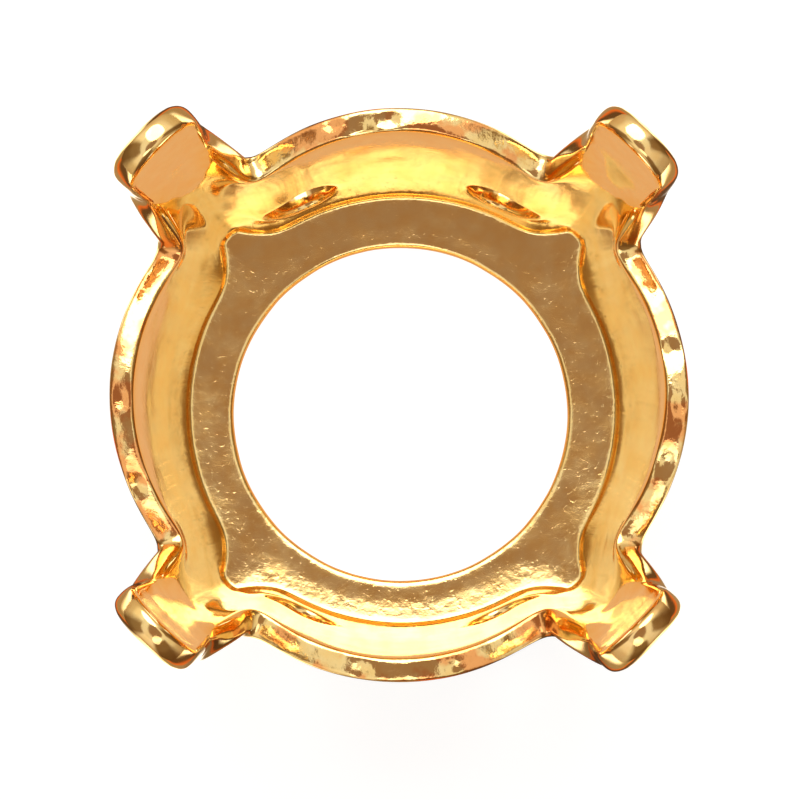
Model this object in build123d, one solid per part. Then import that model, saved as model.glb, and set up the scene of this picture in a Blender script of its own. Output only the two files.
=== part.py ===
from build123d import *

import os
from collections import namedtuple
from math import cos, radians, sin, sqrt, tan

# A sew-on setting for a 6 mm round stone, stamped and drawn from one disc of brass sheet.
# Millimetres. The origin is the middle of the base's underside, +Z runs up the axis of the cup.
# The prongs stand at 45 degrees between the axes, and the thread holes are in the -Y and +Y walls.

# The stone that it is made for
stone_radius = 3.08  # girdle of a 6 mm round stone
stone_clearance = 0.06
seat_height = 3.30  # the girdle's height above the underside

# The sheet
sheet = 0.36  # thickness of the floor, the walls and the prongs
bend_inner_radius = 0.09  # bend from the floor to the walls

# The open back
back_hole_radius = 2.10
back_hole_roll = 0.20  # rounding that the punch leaves on the hole's lower edge

# The walls
wall_lean = 8.3  # degrees outwards
petal_tightening = 0.36  # each wall is curved this much tighter than the cup is round
neck_height = 3.45  # where the prongs leave the rim
rim_rise = 0.33  # the tallest wall above the necks
rim_curve_radius = 5.05  # the rim's edge, seen from the front of its wall

# The prongs and their roots
root_rise = 0.40  # how far a root stands out from the wall at the underside
root_inner_radius = 0.12  # rounding along the groove inside a root
valley_radius = 0.16  # rounding outside, where a root meets the wall
prong_lean = 10.3  # degrees outwards
prong_width = 1.26
shoulder_length = 0.87  # from the neck up to where the prong has its own width
shoulder_spread = 0.16  # how much wider the prong is at the neck, each side
finger_length = 1.51  # from the shoulders to the tip of the tallest prong
tip_corner_radius = 0.57

# The thread holes
thread_hole_radius = 0.45
thread_hole_height = 1.12
thread_hole_angle = 24.5  # degrees each side of the middle of a wall

# What follows from them
seat_radius = stone_radius + stone_clearance
wall_foot_radius = seat_radius + sheet - seat_height * tan(radians(wall_lean))
prong_foot_radius = wall_foot_radius + root_rise
petal_radius = wall_foot_radius + neck_height * tan(radians(wall_lean)) - petal_tightening
shoulder_height = neck_height + shoulder_length
prong_height = shoulder_height + finger_length
root_outer_radius = root_inner_radius + sheet
bend_outer_radius = bend_inner_radius + sheet

Wall = namedtuple("Wall", "azimuth rise")
Prong = namedtuple("Prong", "azimuth lean length")
Section = namedtuple("Section", "height crown valley")

# Rises are shares of rim_rise.
WALLS = [
    Wall(azimuth=0, rise=1.0),
    Wall(azimuth=90, rise=0.6),
    Wall(azimuth=180, rise=0.8),
    Wall(azimuth=270, rise=0.1),
]

# Leans are shares of prong_lean, and lengths are shares of finger_length.
PRONGS = [
    Prong(azimuth=45, lean=0.93, length=1.0),
    Prong(azimuth=135, lean=0.99, length=0.9),
    Prong(azimuth=225, lean=0.94, length=0.96),
    Prong(azimuth=315, lean=1.0, length=0.88),
]

# Each root is a channel that narrows to the floor and flattens into the prong above the rim.
# Half widths of its crown and between its valleys are shares of half the prong's width.
SECTIONS = [
    Section(height=0.0, crown=0.58, valley=0.86),
    Section(height=neck_height, crown=0.76, valley=1.14),
    Section(height=shoulder_height, crown=1.58, valley=1.94),
    Section(height=prong_height + sheet, crown=1.58, valley=1.94),
]

SECTOR = 45  # half the angle from one prong to the next
UP = Vector(0, 0, 1)
reach = 2 * prong_foot_radius + prong_height  # past the part, for the tools that cut it


def outwards(azimuth):
    """The level direction at this azimuth."""
    return Vector(cos(radians(azimuth)), sin(radians(azimuth)), 0)


def wall_radius(height):
    """The outer face at the middle of a wall."""
    return wall_foot_radius + height * tan(radians(wall_lean))


def prong_radius(prong, height):
    """The outer face of a prong or of its root."""
    return prong_foot_radius + height * tan(radians(prong_lean * prong.lean))


def where_it_enters(start, direction, centre, radius):
    """Where a straight line from outside a circle first meets it."""
    gap = start - centre
    short = -gap.dot(direction)
    return start + direction * (short - sqrt(radius**2 - gap.dot(gap) + short**2))


def root_side(section, prong, inset, side):
    """Crown corner and valley on one side of a root, on the outer face or inset from it."""
    out = outwards(prong.azimuth)
    across = UP.cross(out) * side
    centre = outwards(prong.azimuth + side * SECTOR) * (wall_radius(section.height) - petal_radius)
    crown = out * prong_radius(prong, section.height) + across * section.crown * prong_width / 2
    half_valley = section.valley * prong_width / 2
    from_above = out * reach + across * half_valley
    valley = where_it_enters(from_above, -out, centre, petal_radius)
    flank = (valley - crown).normalized()
    turn = flank.get_angle(across)
    inner_crown = crown - out * inset - across * inset * tan(radians(turn / 2))
    inner_valley = where_it_enters(inner_crown, flank, centre, petal_radius - inset)
    return inner_crown, inner_valley


def rounded(face, points, radius):
    """The face with the corners at these points rounded."""

    def is_listed(vertex):
        return min((Vector(vertex) - point).length for point in points) < radius / 100

    return fillet(face.vertices().filter_by(is_listed), radius)


def outline(section, inset, height):
    """The sheet's outline at one height: four petals and four rounded roots."""
    starts = [root_side(section, prong, inset, -1) for prong in PRONGS]
    ends = [root_side(section, prong, inset, 1) for prong in PRONGS]
    edges = Curve()
    for prong, start, end, following in zip(PRONGS, starts, ends, starts[1:] + starts[:1]):
        middle = outwards(prong.azimuth + SECTOR) * (wall_radius(section.height) - inset)
        edges += Polyline(start[1], start[0], end[0], end[1])
        edges += ThreePointArc(end[1], middle, following[1])
    face = make_face(edges)
    face = rounded(face, [side[0] for side in starts + ends], root_outer_radius - inset)
    face = rounded(face, [side[1] for side in starts + ends], valley_radius + inset)
    return Pos(0, 0, height) * face


def drawn_shell():
    """The drawn sheet before its upper edge is cut: floor, walls and roots up past the tips."""
    outer = loft([outline(section, 0, section.height) for section in SECTIONS], ruled=True)
    outer = fillet(outer.edges().group_by(Axis.Z)[0], bend_outer_radius)
    floor = SECTIONS[0]
    top = SECTIONS[-1]
    inner_levels = [outline(floor, sheet, sheet)]
    inner_levels += [outline(section, sheet, section.height) for section in SECTIONS[1:-1]]
    inner_levels += [outline(top, sheet, top.height + sheet)]
    inner = loft(inner_levels, ruled=True)
    inner = fillet(inner.edges().group_by(Axis.Z)[0], bend_inner_radius)
    return outer - inner


def prong_blank(prong):
    """The outline of one prong, with its shoulders and rounded tip, pushed through the sheet."""
    lean = radians(prong_lean * prong.lean)
    out = outwards(prong.azimuth)
    facing = out * cos(lean) - UP * sin(lean)
    face_of_prong = Plane(origin=out * prong_foot_radius, x_dir=UP.cross(out), z_dir=facing)
    along = 1 / cos(lean)
    half = prong_width / 2
    wide = half + shoulder_spread
    neck = neck_height * along
    shoulder = shoulder_height * along
    tip = (shoulder_height + finger_length * prong.length) * along - sheet * tan(lean)
    right = Spline([(wide, neck), (half, shoulder)], tangents=[(0, 1), (0, 1)])
    left = Spline([(-wide, neck), (-half, shoulder)], tangents=[(0, 1), (0, 1)])
    top = Polyline((half, shoulder), (half, tip), (-half, tip), (-half, shoulder))
    foot = Polyline((wide, neck), (wide, 0), (-wide, 0), (-wide, neck))
    profile = make_face(Curve() + [right, top, left, foot])
    corners = profile.vertices().group_by(Axis.Y)[-1]
    profile = fillet(corners, tip_corner_radius)
    return extrude(face_of_prong * profile, amount=petal_radius / 2, both=True)


def rim_window(wall):
    """What is cut away above one wall's rim, square to the sheet, as far as the next walls."""
    lean = radians(wall_lean)
    out = outwards(wall.azimuth)
    facing = out * cos(lean) - UP * sin(lean)
    face_of_wall = Plane(origin=out * wall_foot_radius, x_dir=UP.cross(out), z_dir=facing)
    apex = (neck_height + rim_rise * wall.rise) / cos(lean)
    side = 0.95 * rim_curve_radius
    ends = apex - rim_curve_radius + sqrt(rim_curve_radius**2 - side**2)
    edge = ThreePointArc((-side, ends), (0, apex), (side, ends))
    above = Polyline((side, ends), (side, reach), (-side, reach), (-side, ends))
    cut = extrude(face_of_wall * make_face(Curve() + [edge, above]), amount=reach, both=True)
    side_a = outwards(wall.azimuth - SECTOR) * reach
    side_b = outwards(wall.azimuth + SECTOR) * reach
    sector = make_face(Polyline(Vector(0, 0, 0), side_a, side_b, close=True))
    return cut & extrude(sector, amount=reach)


def thread_way(azimuth):
    """The straight way of a needle through two facing walls."""
    line = Plane(origin=UP * thread_hole_height, z_dir=outwards(azimuth))
    return line * Cylinder(thread_hole_radius, 2 * reach)


def open_back():
    """The hole through the floor, widened at its lower edge by the roll that the punch leaves."""
    hole = Cylinder(back_hole_radius, 4 * sheet)
    edge = Cylinder(back_hole_radius + back_hole_roll, 2 * back_hole_roll)
    roll = Pos(0, 0, back_hole_roll) * Torus(back_hole_radius + back_hole_roll, back_hole_roll)
    return hole + (edge - roll)


def setting():
    """The whole setting, one piece of sheet."""
    body = drawn_shell()
    blanks = Part() + [prong_blank(prong) for prong in PRONGS]
    for wall in WALLS:
        body -= rim_window(wall) - blanks
    body -= open_back()
    for side in (-1, 1):
        body -= thread_way(90 + side * thread_hole_angle)
    return body


os.makedirs("parts", exist_ok=True)
part = setting()
export_step(part, "parts/setting.step")
print("setting", round(part.volume, 3), "mm3", part.bounding_box())
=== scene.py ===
# %% [markdown]
# # A sew-on setting in gold-plated brass
# The real thing is a small open-backed cup, stamped and drawn from one disc of brass sheet and
# plated. Four petal walls lean outwards, four prongs stand up at the corners between them, and
# two facing walls have two thread holes each. A stone drops in and the prongs are bent over it.
#
# The imported model gives the true size and place. It is loaded first, and its box is kept, so
# that the marks made at the end can't carry the finished mesh out of it.

from collections import namedtuple
from math import atan, atan2, copysign, cos, exp, pi, radians, sin, sqrt, tan

import bmesh
import bpy
from mathutils import Matrix, Vector, noise


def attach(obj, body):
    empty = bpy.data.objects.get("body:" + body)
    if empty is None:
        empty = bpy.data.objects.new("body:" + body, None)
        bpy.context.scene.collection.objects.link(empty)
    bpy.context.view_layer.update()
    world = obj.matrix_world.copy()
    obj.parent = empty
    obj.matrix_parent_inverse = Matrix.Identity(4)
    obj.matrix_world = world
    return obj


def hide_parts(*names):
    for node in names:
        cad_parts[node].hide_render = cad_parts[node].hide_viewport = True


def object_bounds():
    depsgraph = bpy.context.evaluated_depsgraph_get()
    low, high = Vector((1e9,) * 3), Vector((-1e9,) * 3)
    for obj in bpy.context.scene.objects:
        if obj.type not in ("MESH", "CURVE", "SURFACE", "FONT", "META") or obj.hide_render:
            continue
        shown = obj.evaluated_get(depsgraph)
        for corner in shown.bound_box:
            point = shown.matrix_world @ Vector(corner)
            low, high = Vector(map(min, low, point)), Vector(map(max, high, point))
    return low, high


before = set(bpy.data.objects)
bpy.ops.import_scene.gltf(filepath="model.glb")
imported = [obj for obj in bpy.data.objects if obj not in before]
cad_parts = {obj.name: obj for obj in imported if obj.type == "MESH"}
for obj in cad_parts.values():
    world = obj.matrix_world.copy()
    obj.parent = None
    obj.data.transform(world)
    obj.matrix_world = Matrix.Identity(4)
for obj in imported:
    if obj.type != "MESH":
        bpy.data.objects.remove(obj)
cad_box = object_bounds()
mm = 0.001
print("frame box in mm", [[round(value / mm, 3) for value in corner] for corner in cad_box])

# %% [markdown]
# ## Sizes
# Everything follows the sheet's outline at each height, seen from above. A wall is a circle a
# little tighter than the cup. A prong's root is a ridge that stands out from the corner between
# two walls, and it flattens into the prong above the rim. The same few sizes describe both, so
# they are named once here, in metres.

# %% Sizes of the sheet
UP = Vector((0, 0, 1))
SECTOR = radians(45)  # half the angle from one prong to the next

sheet = 0.36 * mm
bend_radius = 0.45 * mm  # outside, from the floor to the walls
back_hole_radius = 2.10 * mm
back_hole_shift = Vector((-0.03, -0.05, 0)) * mm  # the punch sat a little off the middle

wall_foot_radius = 3.0186 * mm
wall_lean = radians(8.3)
petal_radius = 3.1619 * mm
neck_height = 3.45 * mm
rim_rise = 0.33 * mm
rim_curve_radius = 5.05 * mm

prong_foot_radius = 3.4186 * mm
prong_lean = radians(10.3)
prong_half = 0.63 * mm
shoulder_height = 4.32 * mm
shoulder_spread = 0.16 * mm
finger_length = 1.51 * mm
tip_round = 0.60 * mm

thread_hole_radius = 0.45 * mm
thread_hole_height = 1.12 * mm
thread_hole_angle = radians(24.5)  # from the middle of a wall

wall_bulge = 0.018 * mm  # the drawn walls are a little barrel-shaped
edge_allowance = 0.025 * mm  # what the smoothing of the mesh takes off a free edge

# Shares of rim_rise for the walls at 0, 90, 180 and 270 degrees, and for the prongs between
# them the shares of prong_lean and of finger_length.
RISES = [1.0, 0.6, 0.8, 0.1]
LEANS = [0.93, 0.99, 0.94, 1.0]
LENGTHS = [1.0, 0.9, 0.96, 0.88]
print("rims in mm", [round((neck_height + rim_rise * rise) / mm, 2) for rise in RISES])

# %% [markdown]
# ## The outline of the sheet
# A drawn ridge has no sharp corners: its crown runs into its flank, and the flank into the wall,
# through small rounds. One could model straight lines and bevel them afterwards. Here each corner
# is rounded in the outline itself with an arc, because the rounds then stay even while the ridge
# narrows towards the floor.

# %% The outline at one height
CROWN_ROUNDS = (0.52 * mm, 0.68 * mm)  # at the floor, and from the neck upwards
valley_round = 0.16 * mm
beyond_valley = 0.07 * mm
CROWN_SHARES = [0.58, 0.76, 1.58]  # of the prong's half width: at the floor, neck and shoulder
VALLEY_SHARES = [0.86, 1.14, 1.94]
crown_part = 0.7  # of the flank that belongs to the crown's round, and the rest to the valley's
flatten_start = 3.30 * mm  # where a root begins to flatten into its prong
flatten_end = 4.47 * mm


def between(start, end, share):
    """A value part of the way from start to end."""
    return start + (end - start) * share


def outwards(azimuth):
    """The level direction at this azimuth."""
    return Vector((cos(azimuth), sin(azimuth), 0))


def petal_centre(height):
    """How far a wall's own centre lies from the cup's axis."""
    bulge = wall_bulge * max(sin(pi * height / (neck_height + rim_rise)), 0)
    return wall_foot_radius + height * tan(wall_lean) + bulge - petal_radius


def eased(value, start, end):
    """Goes smoothly from 0 at start to 1 at end."""
    share = min(max((value - start) / (end - start), 0), 1)
    return share * share * (3 - 2 * share)


def root_half(shares, height):
    """Half the width of a root's crown, or between its valleys."""
    floor_share, neck_share, shoulder_share = shares
    root = between(floor_share, neck_share, height / neck_height)
    flattened = eased(height, flatten_start, flatten_end)
    return prong_half * between(root, shoulder_share, flattened)


def wall_reach(across, height):
    """The wall's face at a distance across the corner, measured along the prong's direction."""
    centre = petal_centre(height)
    gap = across - centre * sin(SECTOR)
    return centre * cos(SECTOR) + sqrt(petal_radius**2 - gap**2)


def around_corner(across, corner, before, after, radius):
    """Follows one slope to a corner and another one after it, with the corner rounded."""
    turn_in = atan(before)
    turn_out = atan(after)
    side = 1 if turn_out > turn_in else -1
    length = radius * tan(abs(turn_out - turn_in) / 2)
    start = corner[0] - length * cos(turn_in)
    end = corner[0] + length * cos(turn_out)
    if across <= start:
        return corner[1] + (across - corner[0]) * before
    if across >= end:
        return corner[1] + (across - corner[0]) * after
    centre_across = start - side * radius * sin(turn_in)
    centre_reach = corner[1] - length * sin(turn_in) + side * radius * cos(turn_in)
    return centre_reach - side * sqrt(radius**2 - (across - centre_across) ** 2)


def root_reach(prong, across, height):
    """The outer face of a root or prong, measured along the prong's direction."""
    across = abs(across)
    crown = (root_half(CROWN_SHARES, height),
             prong_foot_radius + height * tan(prong_lean * LEANS[prong]))
    half_valley = root_half(VALLEY_SHARES, height)
    valley = (half_valley, wall_reach(half_valley, height))
    flank = (valley[1] - crown[1]) / (valley[0] - crown[0])
    if across < between(crown[0], valley[0], crown_part):
        crown_round = between(*CROWN_ROUNDS, min(max(height / neck_height, 0), 1))
        return around_corner(across, crown, 0, flank, crown_round)
    nudge = valley_round / 100
    wall_slope = (wall_reach(half_valley + nudge, height) - valley[1]) / nudge
    reach = around_corner(across, valley, flank, wall_slope, valley_round)
    if across > half_valley:
        reach += wall_reach(across, height) - valley[1] - (across - half_valley) * wall_slope
    return reach


print("a root's crown stands", round(root_reach(0, 0, neck_height) / mm, 2), "mm out at the neck")

# %% [markdown]
# ## Columns round the cup
# The mesh is a grid: columns run up the sheet and rows run round it. Rounds need closer columns
# than walls, and the thread holes need four columns across them, so the columns are spaced one
# by one in half a sector, from the middle of a prong to the middle of a wall, and mirrored.

# %% Columns
ROOT_SHARES = [0, 0.19, 0.36, 0.50, 0.64, 0.80, 1]  # of the root's half width
PRONG_SHARES = [0, 0.16, 0.31, 0.45, 0.59, 0.73, 1]  # of the prong's half width
hole_turn = radians(8.2)  # half the angle that a thread hole takes
WALL_ANGLES = [
    thread_hole_angle + hole_turn / 2,
    thread_hole_angle,
    thread_hole_angle - hole_turn / 2,
    thread_hole_angle - hole_turn,
    radians(10.9),
    radians(5.4),
    0,
]
root_steps = len(ROOT_SHARES) - 1
half_steps = root_steps + len(WALL_ANGLES)
sector_columns = 2 * half_steps
columns = 4 * sector_columns
print("columns", columns)


def place(column):
    """The prong that a column belongs to, its side of it, and its steps from the middle."""
    prong, local = divmod(column % columns, sector_columns)
    step = local - half_steps
    return prong, (1 if step >= 0 else -1), abs(step)


def prong_azimuth(prong):
    """The direction of a prong."""
    return SECTOR * (2 * prong + 1)


# %% [markdown]
# ## Points of the outer face
# Near a prong a point is placed across the prong's direction, and on a wall by its angle round
# the cup. The columns of a root are spaced by shares that change into the prong's shares, mostly
# just under the neck, so that the same columns run on from the root into the prong.

# %% Points of the outer face
def width_at(height):
    """Half width of a root inside its valleys, and of the prong above them."""
    floor_share, neck_share, _ = VALLEY_SHARES
    if height <= neck_height:
        return prong_half * between(floor_share, neck_share, height / neck_height) + beyond_valley
    spread = shoulder_spread * (1 - eased(height, neck_height, shoulder_height))
    return prong_half + spread


def on_root(prong, across, height):
    """A point of the outer face near a prong."""
    out = outwards(prong_azimuth(prong))
    return out * root_reach(prong, across, height) + UP.cross(out) * across + UP * height


def on_wall(azimuth_of_wall, angle, height):
    """A point of the outer face of a wall, at an angle from its middle."""
    centre = petal_centre(height)
    reach = centre * cos(angle) + sqrt(petal_radius**2 - (centre * sin(angle)) ** 2)
    return outwards(azimuth_of_wall + angle) * reach + UP * height


def on_sheet(column, height):
    """The outer face's point in a column, up to the rim."""
    prong, side, step = place(column)
    if step <= root_steps:
        near_neck = min(max(height / neck_height, 0), 1) ** 3
        share = between(ROOT_SHARES[step], PRONG_SHARES[step], near_neck)
        return on_root(prong, side * share * width_at(height), height)
    wall = prong_azimuth(prong) + side * SECTOR
    return on_wall(wall, -side * WALL_ANGLES[step - root_steps - 1], height)


def rim_height(column):
    """The height of the rim in a column, and across a root the line that joins both rims."""
    prong, side, step = place(column)
    if step < root_steps:
        low = rim_height(column - side * step - root_steps)
        high = rim_height(column - side * step + root_steps)
        return between(low, high, 0.5 + side * PRONG_SHARES[step] / 2)
    wall = (prong + (side + 1) // 2) % 4
    point = on_sheet(column, neck_height)
    aside = point.dot(UP.cross(outwards(wall * 2 * SECTOR)))
    apex = neck_height + rim_rise * RISES[wall] + edge_allowance
    return apex - rim_curve_radius + sqrt(rim_curve_radius**2 - aside**2)


rim_heights = [rim_height(column) / mm for column in range(columns)]
print("the rim runs from", round(min(rim_heights), 2), "to", round(max(rim_heights), 2), "mm")

# %% [markdown]
# ## Drawing the cup
# The press starts with a flat disc and pulls it up into a cup. The mesh is made the same way: it
# starts as the circle of the open back, and each row is extruded from the last one and moved to
# its place, outwards over the floor, round the bend and up the walls.

# %% A new row, and a point on the bend
bend_slope = tan((pi / 2 - wall_lean) / 2)


def extrude_row(mesh, row, closed):
    """Extrudes a row of vertices and returns the new row in the same order."""
    following = row[1:] + row[:1] if closed else row[1:]
    edges = [mesh.edges.get(pair) for pair in zip(row, following)]
    made = bmesh.ops.extrude_edge_only(mesh, edges=edges)["geom"]
    fresh = {item for item in made if isinstance(item, bmesh.types.BMVert)}
    new_row = []
    for vertex in row:
        rungs = [edge.other_vert(vertex) for edge in vertex.link_edges]
        new_row.append(next(other for other in rungs if other in fresh))
    return new_row


def bend_point(column, angle, radius=bend_radius, depth=0):
    """A point on the rounded bend between floor and wall, outside or at a depth in the sheet."""
    before = on_sheet(column - 1, 0)
    after = on_sheet(column + 1, 0)
    facing = (after - before).cross(UP).normalized()
    shift = radius * (cos(angle) - bend_slope) - depth * bend_slope
    return on_sheet(column, 0) + facing * shift + UP * (depth + radius * (1 + sin(angle)))


print("the bend ends", round(bend_point(0, -wall_lean).z / mm, 3), "mm up")

# %% [markdown]
# ## Floor and bend
# The open back is a circle with one vertex for each column. Two rows fan out from it over the
# floor, and four rows go round the bend. The mesh also gets layers to write notes on: a vertex
# can note a kind of edge and two places, a face how torn it is, and an edge how round it will be.

# %% Floor and bend
FLOOR_SHARES = [0.46, 0.80]  # from the open back to the bend
BEND_ANGLES = [-90, -64, -37, -8.3]  # degrees, from straight down to square to the wall
first_bend_row = 1 + len(FLOOR_SHARES)
first_hole_row = first_bend_row + len(BEND_ANGLES)

cup = bmesh.new()
kind_layer = cup.verts.layers.int.new("kind")
home_layer = cup.verts.layers.float_vector.new("home")
inside_layer = cup.verts.layers.float_vector.new("inside")
torn_layer = cup.faces.layers.float.new("torn")
weight_layer = cup.edges.layers.float.new("bevel_weight_edge")
circle = bmesh.ops.create_circle(cup, segments=columns, radius=back_hole_radius)["verts"]
half_step = pi / columns
circle.sort(key=lambda vertex: (atan2(vertex.co.y, vertex.co.x) + half_step) % (2 * pi))

rows = [circle]
for column, vertex in enumerate(circle):
    foot = bend_point(column, radians(BEND_ANGLES[0]))
    vertex.co = foot.normalized() * back_hole_radius + back_hole_shift

for share in FLOOR_SHARES:
    rows.append(extrude_row(cup, rows[-1], closed=True))
    for column, vertex in enumerate(rows[-1]):
        foot = bend_point(column, radians(BEND_ANGLES[0]))
        vertex.co = rows[0][column].co.lerp(foot, share)

for angle in BEND_ANGLES:
    rows.append(extrude_row(cup, rows[-1], closed=True))
    for column, vertex in enumerate(rows[-1]):
        vertex.co = bend_point(column, radians(angle))

print("rows of the floor and the bend", len(rows))

# %% [markdown]
# ## Walls
# Five rows pass the thread holes, at even steps of their radius, so that each hole can be cut out
# of whole faces later. The rows above them are spread over what is left of each column up to the
# rim, which is higher in the middle of a wall than beside a prong.

# %% Walls
HOLE_SHARES = [-1, -0.5, 0, 0.5, 1]  # of the thread hole's radius
RIM_SHARES = [0.2, 0.42, 0.64, 0.84, 1]  # from above the thread holes to the rim

for share in HOLE_SHARES:
    rows.append(extrude_row(cup, rows[-1], closed=True))
    height = thread_hole_height + share * thread_hole_radius
    for column, vertex in enumerate(rows[-1]):
        vertex.co = on_sheet(column, height)

above_holes = thread_hole_height + thread_hole_radius
for share in RIM_SHARES:
    rows.append(extrude_row(cup, rows[-1], closed=True))
    for column, vertex in enumerate(rows[-1]):
        vertex.co = on_sheet(column, between(above_holes, rim_height(column), share))

print("rows", len(rows), "faces of the cup", len(cup.faces))

# %% [markdown]
# ## Prongs
# Each prong is cut from the same sheet, so it grows from the rim's own vertices. Its edges swing
# in over the shoulders and run straight to a round tip. To round the tip without a pinch, the
# last rows are bent from a square grid into half a disc.

# %% Prongs
SHOULDER_SHARES = [0.16, 0.40, 0.70, 1]
FINGER_SHARES = [0.36, 0.70, 1]
TIP_SHARES = [0.37, 0.73, 1]
prong_rows = []


def prong_point(prong, share, height):
    """A point of a prong's outer face, at a share of its half width."""
    return on_root(prong, share * width_at(height), height)


def tip_point(prong, share, rise, base):
    """A point of the round tip: a square grid bent into half rings."""
    ring = max(abs(share), rise)
    turn = pi / 4 * rise / ring if abs(share) == ring else pi / 2 - pi / 4 * abs(share) / ring
    across = copysign(prong_half * ring * cos(turn), share)
    return on_root(prong, across, base + tip_round * ring * sin(turn))


for prong in range(4):
    middle = prong * sector_columns + half_steps
    span = range(-root_steps, root_steps + 1)
    shares = [PRONG_SHARES[abs(step)] * (1 if step >= 0 else -1) for step in span]
    starts = [rim_height(middle + step) for step in span]
    tip = shoulder_height + finger_length * LENGTHS[prong] - sheet * sin(prong_lean)
    tip += edge_allowance
    base = tip - tip_round
    row = [rows[-1][middle + step] for step in span]
    for rise in SHOULDER_SHARES:
        row = extrude_row(cup, row, closed=False)
        for vertex, share, start in zip(row, shares, starts):
            vertex.co = prong_point(prong, share, between(start, shoulder_height, rise))
        prong_rows.append(row)
    for rise in FINGER_SHARES:
        row = extrude_row(cup, row, closed=False)
        for vertex, share in zip(row, shares):
            vertex.co = prong_point(prong, share, between(shoulder_height, base, rise))
        prong_rows.append(row)
    for rise in TIP_SHARES:
        row = extrude_row(cup, row, closed=False)
        for vertex, share in zip(row, shares):
            vertex.co = tip_point(prong, share, rise, base)
        prong_rows.append(row)

print("faces with the prongs", len(cup.faces))

# %% [markdown]
# ## Thread holes
# The holes are drilled straight through two facing walls. A boolean cut would leave long thin
# faces that spoil the reflections of a bright metal. So four by four faces are taken out of the
# grid instead, and the sixteen vertices round the gap are moved onto the drill's circle.

# %% Thread holes
hole_steps = WALL_ANGLES[::-1].index(thread_hole_angle)  # columns from the middle of a wall
hole_half = len(HOLE_SHARES) // 2
first_turn = -3 * pi / 4  # the loop starts at the gap's first corner
hole_loops = []


def on_drill(azimuth, turn):
    """Where a line of the drill's surface meets the outer face of the wall."""
    way = outwards(azimuth)
    aside = UP.cross(way) * thread_hole_radius * cos(turn)
    height = thread_hole_height + thread_hole_radius * sin(turn)
    wall = round(azimuth / (2 * SECTOR)) * 2 * SECTOR
    gap = aside - outwards(wall) * petal_centre(height)
    short = -gap.dot(way)
    return aside + way * (short + sqrt(petal_radius**2 - gap.dot(gap) + short**2)) + UP * height


for wall in (1, 3):
    for side in (-1, 1):
        azimuth = wall * 2 * SECTOR + side * thread_hole_angle
        middle = wall * sector_columns + side * hole_steps
        span = [(middle + step) % columns for step in range(-hole_half, hole_half + 1)]
        block = [[rows[first_hole_row + up][column] for column in span]
                 for up in range(len(HOLE_SHARES))]
        loop = block[0][:-1] + [line[-1] for line in block[:-1]]
        loop += block[-1][:0:-1] + [line[0] for line in block[:0:-1]]
        inside = [vertex for line in block[1:-1] for vertex in line[1:-1]]
        bmesh.ops.delete(cup, geom=inside, context="VERTS")
        for step, vertex in enumerate(loop):
            vertex.co = on_drill(azimuth, 2 * pi * step / len(loop) + first_turn)
        hole_loops.append(loop)

print("thread holes", len(hole_loops), "with", len(hole_loops[0]), "vertices each")

# %% [markdown]
# ## Notes for the inner side
# The sheet gets its thickness inwards, so that the outer face stays on the CAD outline. Solidify
# alone would make the inner bend a plain copy of the outer one. The punch presses it tighter than
# that, and leaves the floor a little higher beside it than at the open back. So before the sheet
# is thickened, each vertex notes its home on the outer face, those of the bend and beside it also
# note their place on the inner side, and those of a free edge note which cut made them.

# %% Notes on the vertices
BEND_INSIDE = (0.06 * mm, 0.07 * mm)  # in the grooves, and along the walls
BEND_STEPS = (root_steps - 3, root_steps + 1)  # columns from the one to the other
floor_dish = 0.024 * mm  # how much the floor has risen at the bend
dish_before_bend = 0.6  # of floor_dish, in the last row before the bend
KINDS = ["back", "rim", "prong", "neck", "thread"]
CUTS = {"back": [rows[0]], "rim": [rows[-1]], "prong": prong_rows, "thread": hole_loops}


def bend_inside(column, angle):
    """A point of the bend on the inner side of the sheet."""
    radius = between(*BEND_INSIDE, eased(place(column)[2], *BEND_STEPS))
    return bend_point(column, angle, radius, sheet) + UP * floor_dish


for vertex in cup.verts:
    vertex[home_layer] = vertex.co
for vertex in rows[first_bend_row - 1]:
    vertex[inside_layer] = vertex.co + UP * (sheet + floor_dish * dish_before_bend)
for angle, row in zip(BEND_ANGLES, rows[first_bend_row:]):
    for column, vertex in enumerate(row):
        vertex[inside_layer] = bend_inside(column, radians(angle))
for name, lines in CUTS.items():
    for line in lines:
        for vertex in line:
            vertex[kind_layer] = KINDS.index(name)

noted = sum(vertex[inside_layer].length > 0 for vertex in cup.verts)
print("vertices with a place of their own on the inner side", noted)

# %% [markdown]
# ## Thickness
# Solidify works along the normals, so they have to point outwards first. Afterwards the
# homes tell three kinds of face apart: the outer skin is still at home, the inner skin is away
# from it, and a cut face has vertices of both. A cut face notes how torn the shears left it.

# %% Thickness
TORN = {"back": 0.2, "rim": 1, "prong": 0.2, "neck": 0.8, "thread": 0.3}
at_home = sheet / 100  # closer than this to its home, a vertex hasn't moved

bmesh.ops.recalc_face_normals(cup, faces=cup.faces[:])
probe = rows[first_hole_row][0]
if probe.link_faces[0].normal.dot(probe.co) < 0:
    bmesh.ops.reverse_faces(cup, faces=cup.faces[:])
bmesh.ops.solidify(cup, geom=cup.faces[:], thickness=sheet)


def is_outer(vertex):
    """True for a vertex that is still at home on the outer face."""
    return (vertex.co - vertex[home_layer]).length < at_home


def kind_of(part):
    """The kind of cut that an edge or a face belongs to."""
    names = {KINDS[vertex[kind_layer]] for vertex in part.verts}
    return names.pop() if len(names) == 1 else "neck"


for face in cup.faces:
    outer = sum(is_outer(vertex) for vertex in face.verts)
    if 0 < outer < len(face.verts):
        face[torn_layer] = TORN[kind_of(face)]

print("faces", len(cup.faces), "of which cut", sum(face[torn_layer] > 0 for face in cup.faces))

# %% [markdown]
# ## The inner side
# Pressed between punch and die, the walls get a little thinner towards the rim. That is taken off
# the inner side alone, because the outer face is the one that was measured. The prongs keep their
# full thickness. The shears leave the rim's inner edge a little lower than its outer one.

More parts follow.
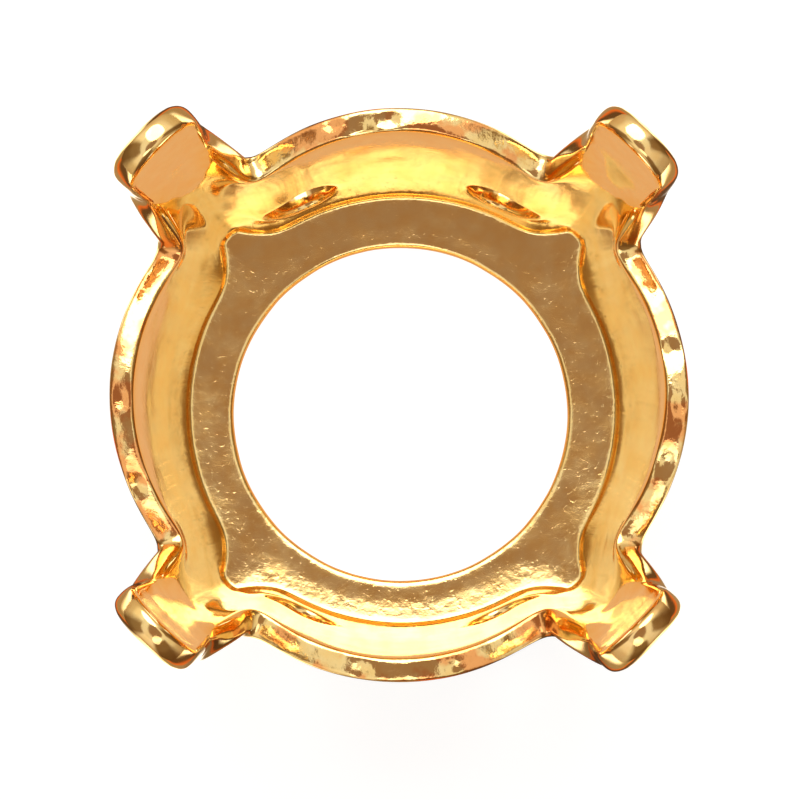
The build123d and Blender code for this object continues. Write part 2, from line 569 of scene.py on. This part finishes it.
# %% The inner side
thin_start = 1.7 * mm  # above this, the walls get thinner
thin_slope = radians(1.5)
THIN_ANGLES = (radians(9), radians(19))  # from the middle of a prong: not thinned, and fully
rim_drop = 0.014 * mm


def off_prong(point):
    """How far round from the middle of the nearest prong, as an angle."""
    return abs((atan2(point.y, point.x) % (2 * SECTOR)) - SECTOR)


for vertex in cup.verts:
    if is_outer(vertex):
        continue
    home = vertex[home_layer]
    thinned = tan(thin_slope) * max(home.z - thin_start, 0)
    thinned *= eased(off_prong(home), *THIN_ANGLES)
    vertex.co += Vector((home.x, home.y, 0)).normalized() * thinned
    if vertex[kind_layer] == KINDS.index("rim"):
        vertex.co.z -= rim_drop
    if vertex[inside_layer].length > 0:
        vertex.co = vertex[inside_layer]

thinnest = sheet - tan(thin_slope) * (neck_height - thin_start)
print("the walls are thinned to about", round(thinnest / mm, 3), "mm at the neck")

# %% [markdown]
# ## The grooves
# Behind each prong the punch presses a groove, and its edges are softer than those of the ridge
# outside. Smoothing the inner vertices gives that, and only sideways, so that each keeps its
# height. The cut faces are left out, so that the rim and the prongs' edges keep their shape.

# %% The grooves
groove_turn = radians(20)  # from the middle of a prong
GROOVE_HEIGHTS = (0.6 * mm, 5.0 * mm)
groove_passes = 14
groove_factor = 0.5  # of the way to the neighbours' middle, in each pass
soft = []
for vertex in cup.verts:
    home = vertex[home_layer]
    in_groove = off_prong(home) < groove_turn and GROOVE_HEIGHTS[0] < home.z < GROOVE_HEIGHTS[1]
    beside_cut = any(face[torn_layer] for face in vertex.link_faces)
    if in_groove and not is_outer(vertex) and not beside_cut:
        soft.append(vertex)
for _ in range(groove_passes):
    bmesh.ops.smooth_vert(cup, verts=soft, factor=groove_factor, use_axis_x=True, use_axis_y=True)

print("vertices smoothed in the grooves", len(soft))

# %% [markdown]
# ## Rounded edges
# Each kind of cut edge has its own roundness: the punch rolls the lower edge of the open back
# wide, tumbling rounds the prongs, and the rim stays almost as sharp as it was sheared. A Bevel
# modifier that reads a weight from each edge does them all at once. A Subdivision Surface then
# makes the grid smooth enough for mirror-like metal, and the result is kept as one plain mesh.

# %% Rounded edges
EDGE_ROUNDS = {  # outside and inside, in millimetres
    "back": (0.20, 0.06),
    "rim": (0.045, 0.055),
    "prong": (0.11, 0.09),
    "neck": (0.08, 0.10),
    "thread": (0.05, 0.06),
}
widest = max(max(pair) for pair in EDGE_ROUNDS.values())

for edge in cup.edges:
    if sum(face[torn_layer] > 0 for face in edge.link_faces) == 1:
        outside, inside = EDGE_ROUNDS[kind_of(edge)]
        edge[weight_layer] = (outside if is_outer(edge.verts[0]) else inside) / widest

draft = bpy.data.meshes.new("setting_draft")
cup.to_mesh(draft)
cup.free()
blank = bpy.data.objects.new("setting_draft", draft)
bpy.context.scene.collection.objects.link(blank)

rounding = blank.modifiers.new("edges", "BEVEL")
rounding.limit_method = "WEIGHT"
rounding.width = widest * mm
rounding.segments = 2
rounding.use_clamp_overlap = False
smoothing = blank.modifiers.new("smooth", "SUBSURF")
smoothing.levels = 2
smoothing.render_levels = 2

graph = bpy.context.evaluated_depsgraph_get()
mesh = bpy.data.meshes.new_from_object(blank.evaluated_get(graph))
mesh.name = "gold_setting"
bpy.data.objects.remove(blank)
triangles = sum(len(face.vertices) - 2 for face in mesh.polygons)
print("smooth mesh:", len(mesh.vertices), "vertices,", triangles, "triangles")

# %% [markdown]
# ## The marks of the press
# A stamped and tumbled part is never quite even, and bright gold shows it: reflections bend over
# waves in the sheet that are only a few microns deep. The sheared rim is the roughest place. One
# could do all of it with bump, but the outline and the mesh stay too clean then. So the waves,
# the tear of the rim and its dents are moved into the vertices, and only the fine grain is left
# to bump. The punch has also lifted the floor a little round the open back.

# %% Waves, tears and dents
WAVES = [(0.9, 0.010), (2.4, 0.0028)]  # waves for each millimetre, and depth in millimetres
TEARS = [(2.1, 0.013), (5.0, 0.006), (9.0, 0.0035)]
floor_calm = 0.35  # the punch keeps the floor flatter than the walls
CALM_HEIGHTS = (sheet, 3 * sheet)  # the floor's share of the waves ends, the walls' is full
lip_start = 2.37 * mm  # from here inwards the floor is lifted
lip_slope = radians(0.8)
dent_start = sheet * 6  # all dents are in the rim, above this
tumbling_seed = Vector((17.3, 4.1, 9.6))

Dent = namedtuple("Dent", "azimuth reach radius depth")  # degrees and millimetres
RIM_DENTS = [
    Dent(azimuth=92, reach=3.38, radius=0.10, depth=0.050),
    Dent(azimuth=98, reach=3.30, radius=0.14, depth=0.060),
    Dent(azimuth=104, reach=3.42, radius=0.07, depth=0.030),
    Dent(azimuth=123, reach=3.42, radius=0.12, depth=0.060),
    Dent(azimuth=9, reach=3.40, radius=0.12, depth=0.045),
    Dent(azimuth=-2, reach=3.46, radius=0.09, depth=0.035),
    Dent(azimuth=-14, reach=3.40, radius=0.12, depth=0.040),
    Dent(azimuth=181, reach=3.40, radius=0.10, depth=0.035),
    Dent(azimuth=199, reach=3.42, radius=0.13, depth=0.045),
    Dent(azimuth=262, reach=3.42, radius=0.10, depth=0.030),
    Dent(azimuth=281, reach=3.40, radius=0.08, depth=0.030),
]


def unevenness(point, marks):
    """The sum of smooth noise at a few sizes, in metres."""
    return sum(noise.noise(point * size / mm + tumbling_seed) * depth * mm for size, depth in marks)


def dented(point):
    """How far the dents in the rim reach down at this point, in metres."""
    depth = 0
    for dent in RIM_DENTS:
        aside = outwards(radians(dent.azimuth)) * dent.reach * mm - point
        aside.z = 0
        depth += dent.depth * mm * exp(-((aside.length / (dent.radius * mm)) ** 2))
    return depth


print("dents in the rim", len(RIM_DENTS))

# %% [markdown]
# ## The finished piece
# All shifts are measured on the even mesh first and made afterwards, so that no vertex moves on a
# neighbour that has moved already. The marks may not carry the metal under the floor or out of
# the CAD box. The finished piece takes the place of the setting's node, on the body it rides on.

# %% The finished piece
marked = bmesh.new()
marked.from_mesh(mesh)
rough_layer = marked.verts.layers.float.new("rough")
torn_layer = marked.faces.layers.float["torn"]
for vertex in marked.verts:
    torn_sum = sum(face[torn_layer] for face in vertex.link_faces)
    vertex[rough_layer] = torn_sum / len(vertex.link_faces)
marked.normal_update()
shifts = []
for vertex in marked.verts:
    calm = between(floor_calm, 1, eased(vertex.co.z, *CALM_HEIGHTS))
    shift = calm * unevenness(vertex.co, WAVES)
    shift += vertex[rough_layer] * unevenness(vertex.co, TEARS)
    if vertex.co.z > dent_start:
        shift -= vertex[rough_layer] * dented(vertex.co)
    lip = max(lip_start - (vertex.co - back_hole_shift).xy.length, 0) * tan(lip_slope)
    shifts.append(vertex.normal * shift + UP * lip)
for vertex, shift in zip(marked.verts, shifts):
    vertex.co += shift
    vertex.co.z = max(vertex.co.z, 0)
    for axis in range(3):
        vertex.co[axis] = min(max(vertex.co[axis], cad_box[0][axis]), cad_box[1][axis])
marked.to_mesh(mesh)
marked.free()
mesh.shade_smooth()
print("largest shift", round(max(shift.length for shift in shifts) / mm, 3), "mm")

setting = bpy.data.objects.new("gold_setting", mesh)
bpy.context.scene.collection.objects.link(setting)
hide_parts("setting")
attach(setting, "root")

# %% [markdown]
# ## Node helpers
# A material is a tree of nodes. Building one by script takes the same few steps again and again,
# so they get short helpers. A source here is a node together with one of its outputs, and each
# helper gives back a source, which can go straight into the next one.

# %% Node helpers
def pick(sockets, key):
    """A socket by its place, or the enabled one of that name."""
    if isinstance(key, int):
        return sockets[key]
    return next(socket for socket in sockets if socket.enabled and socket.name == key)


def feed(tree, source, node, key):
    """Links a source to an input of a node, or gives that input a plain value."""
    socket = pick(node.inputs, key)
    if isinstance(source, tuple) and isinstance(source[0], bpy.types.Node):
        tree.links.new(pick(source[0].outputs, source[1]), socket)
    else:
        socket.default_value = source


def add_node(tree, kind, inputs=None, **settings):
    """A new node with its settings, and with sources or plain values for its inputs."""
    node = tree.nodes.new(kind)
    for name, value in settings.items():
        setattr(node, name, value)
    for key, source in (inputs or {}).items():
        feed(tree, source, node, key)
    return node


def combine(tree, operation, first, *others):
    """Works through sources and numbers with one Math node after another."""
    for other in others:
        node = add_node(tree, "ShaderNodeMath", {0: first, 1: other}, operation=operation)
        first = (node, 0)
    return first


def map_range(tree, source, start, end, low=0, high=1, shape="LINEAR"):
    """Turns values from start to end into values from low to high, and holds them beyond."""
    inputs = {"Value": source, "From Min": start, "From Max": end, "To Min": low, "To Max": high}
    return add_node(tree, "ShaderNodeMapRange", inputs, interpolation_type=shape), "Result"


def mix(tree, share, first, second, way="MIX"):
    """Mixes two colours by a share."""
    inputs = {"Factor": share, "A": first, "B": second}
    return add_node(tree, "ShaderNodeMix", inputs, data_type="RGBA", blend_type=way), "Result"


def ramp(tree, source, steps):
    """A soft ramp through colours, each at its place between 0 and 1."""
    node = add_node(tree, "ShaderNodeValToRGB", {"Fac": source})
    node.color_ramp.interpolation = "EASE"
    points = node.color_ramp.elements
    while len(points) < len(steps):
        points.new(0.5)
    for point, (position, tone) in zip(points, steps):
        point.position = position
        point.color = tone
    return node, "Color"


# %% [markdown]
# ## Gold plating
# A thin layer of gold on tumbled brass is a mirror with a faint grain. In Blender that is a
# metal with low roughness. What makes it look real is what varies: a grain and pits where the
# punch pressed the floor, a rougher torn face on the rim, and a tone that changes here and there.
# Two masks say where: one is full on the floor and fades where the walls begin, and the other
# reads how torn each vertex is from the mesh. All patterns are on Object coordinates, in
# millimetres, so they stay on the piece and their scales are easy to judge.

# %% Where things are on the gold
FLOOR_HEIGHTS = (0.55, 0.38)  # in millimetres: no floor above the one, all floor below the other

gold = bpy.data.materials.new("gold_plating")
gold.use_nodes = True
gold_tree = gold.node_tree
gold_shader = gold_tree.nodes["Principled BSDF"]
gold_shader.inputs["Metallic"].default_value = 1

on_setting = (add_node(gold_tree, "ShaderNodeTexCoord"), "Object")
to_millimetres = {"Vector": on_setting, "Scale": (1 / mm, 1 / mm, 1 / mm)}
in_mm = (add_node(gold_tree, "ShaderNodeMapping", to_millimetres), "Vector")
torn = (add_node(gold_tree, "ShaderNodeAttribute", attribute_name="rough"), "Fac")
height_in_mm = (add_node(gold_tree, "ShaderNodeSeparateXYZ", {0: in_mm}), "Z")
on_floor = map_range(gold_tree, height_in_mm, *FLOOR_HEIGHTS)


def speckle(scale, detail=3.0):
    """Noise with so many specks for each millimetre."""
    inputs = {"Vector": in_mm, "Scale": scale, "Detail": detail}
    return add_node(gold_tree, "ShaderNodeTexNoise", inputs), "Fac"


print("gold plating:", len(gold_tree.nodes), "nodes before its patterns")

# %% [markdown]
# ## Relief of the gold
# Marks that are finer than the mesh go into one Bump node. It reads a height in millimetres, so
# each layer's depth is its real one: the grain that tumbling leaves everywhere, the print of the
# punch on the floor with a few pits in it, and the grain of the sheared faces.

# %% Relief
Grain = namedtuple("Grain", "scale detail depth")  # specks for each mm, and depth in mm
TUMBLED = Grain(scale=14.0, detail=3.0, depth=0.0006)
PRESSED = Grain(scale=6.5, detail=4.0, depth=0.0046)
SHEARED = Grain(scale=11.0, detail=4.0, depth=0.0042)
PITTED = Grain(scale=17.0, detail=2.0, depth=-0.0007)
PIT_RANGE = (0.60, 0.72)  # the noise where a pit begins, and where it is deepest


def relief_of(layer):
    """The height of a grain, in millimetres."""
    return combine(gold_tree, "MULTIPLY", speckle(layer.scale, layer.detail), layer.depth)


grain = relief_of(TUMBLED)
pressed = combine(gold_tree, "MULTIPLY", relief_of(PRESSED), on_floor)
torn_grain = combine(gold_tree, "MULTIPLY", relief_of(SHEARED), torn)
pit_noise = speckle(PITTED.scale, PITTED.detail)
pits = map_range(gold_tree, pit_noise, *PIT_RANGE, high=PITTED.depth)
floor_pits = combine(gold_tree, "MULTIPLY", pits, on_floor)
depth = combine(gold_tree, "ADD", grain, pressed, torn_grain, floor_pits)
bump = {"Strength": 1.0, "Distance": 1 * mm, "Height": depth}
feed(gold_tree, (add_node(gold_tree, "ShaderNodeBump", bump), "Normal"), gold_shader, "Normal")
print("deepest relief", max(PRESSED.depth, SHEARED.depth), "mm")

# %% [markdown]
# ## Gloss and tone of the gold
# The walls are crisp mirrors, in patches a little more or less so, and the pressed floor is
# duller. The gold's tone wanders between two yellows. On the sheared faces it is thin, and the
# metal under it shows through in coppery patches.

# %% Gloss and tone
Patches = namedtuple("Patches", "scale start full")  # specks for each mm, and range of noise
GLOSS_PATCHES = Patches(scale=3.0, start=0.35, full=0.65)
TONE_PATCHES = Patches(scale=4.5, start=0.38, full=0.62)
COPPER_PATCHES = Patches(scale=2.3, start=0.46, full=0.54)
GLOSS = (0.05, 0.12)  # roughness of the crispest and of the dullest patches
dull_floor = 0.07  # added to the roughness on the floor
GOLD_TONE = (0.97, 0.665, 0.245, 1)
PALE_GOLD_TONE = (0.97, 0.715, 0.31, 1)
COPPER_TONE = (0.92, 0.37, 0.11, 1)
most_copper = 0.85  # of COPPER_TONE, in the middle of a patch on the torn rim


def soft_patches(kind, low=0, high=1):
    """Patches with soft edges, as values from low between them to high inside."""
    return map_range(gold_tree, speckle(kind.scale), kind.start, kind.full, low, high)


gleam = soft_patches(GLOSS_PATCHES, *GLOSS)
dulled_floor = combine(gold_tree, "MULTIPLY", on_floor, dull_floor)
roughness = combine(gold_tree, "ADD", gleam, dulled_floor)
feed(gold_tree, roughness, gold_shader, "Roughness")

tint = mix(gold_tree, soft_patches(TONE_PATCHES), GOLD_TONE, PALE_GOLD_TONE)
copper = soft_patches(COPPER_PATCHES, high=most_copper)
copper_share = combine(gold_tree, "MULTIPLY", copper, torn)
worn = mix(gold_tree, copper_share, tint, COPPER_TONE)
feed(gold_tree, worn, gold_shader, "Base Color")
setting.data.materials.clear()
setting.data.materials.append(gold)
print("gold plating:", len(gold_tree.nodes), "nodes")

# %% [markdown]
# ## The studio
# Small bright metal is photographed in a white light tent, with the lens looking in through a
# hole. The tent gives the metal its broad white reflections, and the dark round of the lens gives
# the brown ones. The setting stands on a pale board. White, tan, copper and dark cards round it
# put the long bands on the outside of its walls. Each card takes a share of a quarter turn, so
# every wall mirrors the same ones, and on the middle of the white one a pool of light is painted
# as a glow, with no lamp shining there.

# %% The board
board_radius = 0.5  # metres

board = bmesh.new()
bmesh.ops.create_circle(board, cap_ends=True, segments=96, radius=board_radius)
floor_mesh = bpy.data.meshes.new("floor")
board.to_mesh(floor_mesh)
board.free()
floor = bpy.data.objects.new("floor", floor_mesh)
bpy.context.scene.collection.objects.link(floor)
paper = bpy.data.materials.new("pale_board")
paper.use_nodes = True
floor_mesh.materials.append(paper)
paper_tree = paper.node_tree
paper_shader = paper_tree.nodes["Principled BSDF"]
paper_shader.inputs["Roughness"].default_value = 0.9
paper_shader.inputs["Specular IOR Level"].default_value = 0
print("board", 2 * board_radius, "m across")

# %% The cards on the board
WHITE_CARD = (0.95, 0.95, 0.93, 1)
TAN_CARD = (0.42, 0.33, 0.22, 1)
COPPER_CARD = (0.78, 0.22, 0.06, 1)
DARK_CARD = (0.14, 0.085, 0.05, 1)
QUARTER = [  # share of a quarter turn from the middle of a wall, and the card there
    (0.00, TAN_CARD), (0.10, COPPER_CARD), (0.22, DARK_CARD), (0.34, DARK_CARD),
    (0.44, WHITE_CARD), (0.72, WHITE_CARD), (0.84, TAN_CARD),
]
UNLIT = (0, 0, 0, 1)
# painted light: a glowing pool on the middle of the white card, seen only by the metal, with no
# lamp behind it
PAINTED_POOL_OF_LIGHT = (1.6, 1.6, 1.6, 1)
PAINTED_CARD_LIGHT = [(0.40, UNLIT), (0.52, PAINTED_POOL_OF_LIGHT), (0.62, PAINTED_POOL_OF_LIGHT), (0.78, UNLIT)]
HOLE_RANGE = (3.0 * mm, 2.2 * mm)  # from the axis: outside the open back, and inside it


def quarters_of_turn(tree, parts):
    """How far round the axis a direction or place is, in quarter turns."""
    turn = combine(tree, "ARCTAN2", (parts, "Y"), (parts, "X"))
    return map_range(tree, turn, -pi, pi, high=4)


on_board = (add_node(paper_tree, "ShaderNodeTexCoord"), "Object")
board_parts = add_node(paper_tree, "ShaderNodeSeparateXYZ", {0: on_board})
board_quarters = quarters_of_turn(paper_tree, board_parts)
in_quarter = (add_node(paper_tree, "ShaderNodeMath", {0: board_quarters}, operation="FRACT"), 0)
cards = ramp(paper_tree, in_quarter, QUARTER)
# painted light on the white card, as a glow
painted_card_light = ramp(paper_tree, in_quarter, PAINTED_CARD_LIGHT)
reach = (add_node(paper_tree, "ShaderNodeVectorMath", {0: on_board}, operation="LENGTH"), "Value")
in_hole = map_range(paper_tree, reach, *HOLE_RANGE)
print("cards in a quarter turn", len({tone for _, tone in QUARTER}))

# %% [markdown]
# ## What the board shows
# The camera sees a plain pale board, lit evenly enough to be the photo's white ground, with a
# faint shadow, and painted light raises its glow inside the open back, to cancel the cup's shadow
# there. The metal sees the cards instead, with a painted pool of light on the white one, and
# inside the open back a dark warm board with a warm glow: painted shade for the shade under the
# cup, and painted light for the light that goes to and fro between the gold and the board. A
# Light Path node tells the two apart. It stays in the material itself.

# %% What the board shows
PALE_BOARD = (0.25, 0.25, 0.25, 1)
PALE_GLOW = (0.86, 0.865, 0.87, 1)  # lifts the dim board to the photo's white ground
# painted light: in the open back the board glows brighter, to cancel the shadow of the cup
PAINTED_LIGHT_IN_HOLE = (0.94, 0.945, 0.95, 1)
# painted shade: for the metal, the board in the open back is dark, as if the cup shaded it
WARM_PAINTED_SHADE = (0.10, 0.06, 0.04, 1)
# painted light: a warm glow in the open back stands in for the light that goes to and fro between
# the gold and the board
PAINTED_WARM_GLOW = (0.75, 0.47, 0.26, 1)

seen_by_camera = (add_node(paper_tree, "ShaderNodeLightPath"), "Is Camera Ray")
# the cards round the open back, and painted shade inside it
cards_and_painted_shade = mix(paper_tree, in_hole, cards, WARM_PAINTED_SHADE)
board_tone_and_painted_shade = mix(paper_tree, seen_by_camera, cards_and_painted_shade, PALE_BOARD)
feed(paper_tree, board_tone_and_painted_shade, paper_shader, "Base Color")
# painted light that the metal sees: the pool on the white card, and the warm glow in the open back
painted_mirrored_light = mix(paper_tree, in_hole, painted_card_light, PAINTED_WARM_GLOW)
# what the camera sees: the even pale glow, raised by painted light in the open back
pale_glow_and_painted_light = mix(paper_tree, in_hole, PALE_GLOW, PAINTED_LIGHT_IN_HOLE)
board_glow_and_painted_light = mix(paper_tree, seen_by_camera, painted_mirrored_light, pale_glow_and_painted_light)
feed(paper_tree, board_glow_and_painted_light, paper_shader, "Emission Color")
paper_shader.inputs["Emission Strength"].default_value = 1
print("board:", len(paper_tree.nodes), "nodes")

# %% [markdown]
# ## Camera
# The photo looks down into the cup from a little off the vertical. A long lens at a distance of
# many times the setting's height keeps the walls from splaying outwards in the picture. The
# camera's axes are built from its direction, with +Y of the setting up in the picture.

# %% Camera
camera_tilt = radians(3.2)  # from straight above, towards -Y
camera_aside = radians(0.9)
camera_distance = 130 * mm
lens_length = 473  # millimetres, so that the setting fills the frame as in the photo
aim = Vector((0, 0, 2.6 * mm))

to_camera = Vector((tan(camera_aside), -tan(camera_tilt), 1)).normalized()
camera_data = bpy.data.cameras.new("camera")
camera_data.lens = lens_length
camera_data.clip_start = 1 * mm
camera = bpy.data.objects.new("camera", camera_data)
bpy.context.scene.collection.objects.link(camera)
bpy.context.scene.camera = camera
right = Vector((0, 1, 0)).cross(to_camera).normalized()
above = to_camera.cross(right)
axes = Matrix((right, above, to_camera)).transposed().to_4x4()
camera.matrix_world = Matrix.Translation(aim + to_camera * camera_distance) @ axes
print("camera", round(camera.matrix_world.translation.z / mm, 1), "mm up")

# %% [markdown]
# ## The light tent
# The tent is a world that gets brighter towards the top. Round the setting it has lighter and
# darker panels, which give each wall its own bands, and they fade out overhead, where the cloth
# is even. The lens's hole is a dark warm round with a soft edge. It isn't quite where the camera
# is, but a little lower and to the left. The camera itself sees white instead of the tent.

# %% Tent
lens_half_angle = radians(17.5)
lens_blur = radians(2.5)
hole_low = radians(1.5)  # the middle of the hole is this far below the lens
hole_left = radians(0.9)
LENS_TONE = (0.35, 0.23, 0.17, 1)
WHITE = (1, 1, 1, 1)
OVERHEAD = (0.81, 0.87)  # sine of the elevation: the panels begin to fade, and they have gone


def cloth_tone(brightness):
    """White cloth, and the browner the darker it is."""
    if brightness >= 1:
        return (brightness, brightness, brightness, 1)
    return (brightness, brightness**1.3, brightness**1.7, 1)


def cloth_steps(steps):
    """Places on a ramp, each with the tone of cloth of its brightness."""
    return [(position, cloth_tone(brightness)) for position, brightness in steps]


HEIGHTS = cloth_steps([(0.0, 0.45), (0.30, 0.55), (0.62, 0.78), (1.0, 0.95)])  # by the sine too
PANELS = cloth_steps([  # by the share of the way round from -X
    (0.00, 0.35), (0.05, 0.35), (0.10, 1.2), (0.18, 1.2), (0.24, 0.3), (0.34, 0.3),
    (0.38, 1.0), (0.45, 1.0), (0.50, 0.35), (0.58, 0.3), (0.64, 1.3), (0.90, 1.3),
    (0.96, 0.35),
])

tent = bpy.data.worlds.new("tent")
bpy.context.scene.world = tent
tent.use_nodes = True
tent_tree = tent.node_tree
sky = tent_tree.nodes["Background"]
direction = (add_node(tent_tree, "ShaderNodeTexCoord"), "Generated")
tent_parts = add_node(tent_tree, "ShaderNodeSeparateXYZ", {0: direction})
by_height = ramp(tent_tree, (tent_parts, "Z"), HEIGHTS)
tent_quarters = quarters_of_turn(tent_tree, tent_parts)
share_of_turn = combine(tent_tree, "MULTIPLY", tent_quarters, 0.25)
by_turn = ramp(tent_tree, share_of_turn, PANELS)
overhead = map_range(tent_tree, (tent_parts, "Z"), *OVERHEAD, shape="SMOOTHSTEP")
panels = mix(tent_tree, overhead, by_turn, WHITE)
cloth = mix(tent_tree, 1, by_height, panels, way="MULTIPLY")

to_hole = Vector((tan(camera_aside - hole_left), -tan(camera_tilt + hole_low), 1)).normalized()
dot = {0: direction, 1: to_hole}
towards = (add_node(tent_tree, "ShaderNodeVectorMath", dot, operation="DOT_PRODUCT"), "Value")
outside_hole = cos(lens_half_angle + lens_blur)
inside_hole = cos(lens_half_angle - lens_blur)
in_lens = map_range(tent_tree, towards, outside_hole, inside_hole, shape="SMOOTHSTEP")
tent_tone = mix(tent_tree, in_lens, cloth, LENS_TONE)
tent_seen = (add_node(tent_tree, "ShaderNodeLightPath"), "Is Camera Ray")
feed(tent_tree, mix(tent_tree, tent_seen, tent_tone, WHITE), sky, "Color")
print("tent:", len(tent_tree.nodes), "nodes")

# %% [markdown]
# ## Soft lights
# The tent alone would light the gold too evenly. A wide key light from +Y makes the bright bands
# and the lit tips of the prongs, and a faint fill from -Y keeps the other side from going dull.
# Sun lamps are far away and light the board evenly, so it stays the same pale tone all over.

# %% Soft lights
def soft_light(name, azimuth, elevation, spread, strength):
    """A far round light of this angular size."""
    data = bpy.data.lights.new(name, "SUN")
    data.angle = spread
    data.energy = strength
    lamp = bpy.data.objects.new(name, data)
    way = outwards(azimuth) * cos(elevation) + UP * sin(elevation)
    lamp.rotation_euler = way.to_track_quat("Z", "Y").to_euler()
    bpy.context.scene.collection.objects.link(lamp)
    print(name, "light of strength", strength)


soft_light("key", azimuth=radians(90), elevation=radians(56), spread=radians(43), strength=1.3)
soft_light("fill", azimuth=radians(-90), elevation=radians(62), spread=radians(22), strength=0.14)

# %% [markdown]
# ## Light settings
# The Standard view keeps the ground as white as the photo's. Light goes to and fro many times
# between the walls of a bright cup, so it may bounce more often than by default.

# %% Light settings
bpy.context.scene.view_settings.view_transform = "Standard"
bpy.context.scene.cycles.max_bounces = 16
bpy.context.scene.cycles.glossy_bounces = 12
print("glossy bounces", bpy.context.scene.cycles.glossy_bounces)
